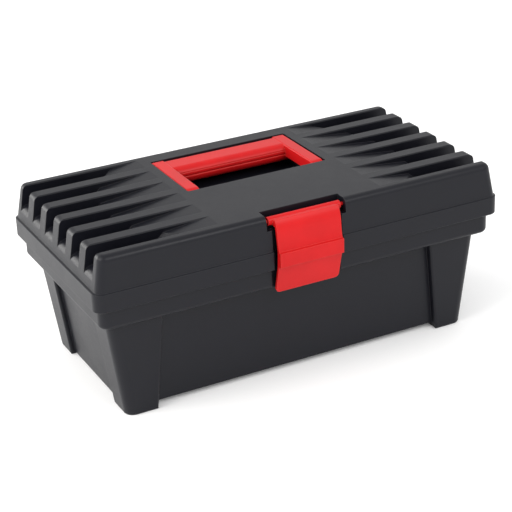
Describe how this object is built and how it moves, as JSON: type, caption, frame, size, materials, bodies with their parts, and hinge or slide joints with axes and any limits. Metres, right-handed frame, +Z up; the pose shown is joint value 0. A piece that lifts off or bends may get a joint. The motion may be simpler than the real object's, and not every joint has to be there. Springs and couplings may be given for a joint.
{
  "type": "toolbox with tray",
  "caption": "Small portable plastic toolbox with a hinged lid, folding carry handle, front latch, corner feet and a lift-out tray.",
  "frame": {"origin": "centre of the box on the surface that its feet stand on", "axes": "+X along the box's length, -Y to the front with the latch, +Z up"},
  "size_m": [0.312, 0.166, 0.127],
  "materials": {
    "black_plastic": "satin, fine moulded grain",
    "tray_plastic": "satin",
    "red_plastic": "satin",
    "pin_steel": "drawn wire"
  },
  "bodies": {
    "base": {"base": "black_plastic", "hinge_pin_left": "pin_steel", "hinge_pin_right": "pin_steel"},
    "lid": {"lid": "black_plastic"},
    "handle": {"handle": "red_plastic"},
    "latch": {"latch": "red_plastic"},
    "tray": {"tray": "tray_plastic"}
  },
  "joints": [
    {"name": "lid_hinge", "type": "hinge", "parent": "base", "child": "lid", "pos_m": [0, 0.0792, 0.0842], "axis": [-1, 0, 0], "range_deg": [0, 105]},
    {"name": "handle_swing", "type": "hinge", "parent": "lid", "child": "handle", "pos_m": [0, 0.0002, 0.1215], "axis": [1, 0, 0], "range_deg": [0, 90]},
    {"name": "latch_hinge", "type": "hinge", "parent": "lid", "child": "latch", "pos_m": [0, -0.0705, 0.122], "axis": [-1, 0, 0], "range_deg": [0, 110]},
    {"name": "tray_lift", "type": "slide", "parent": "base", "child": "tray", "axis": [0, 0, 1], "range_m": [0, 0.06]}
  ],
  "couplings": [
    {"joint": "tray_lift", "follows": "lid_hinge", "m_per_rad": 0.0327}
  ]
}
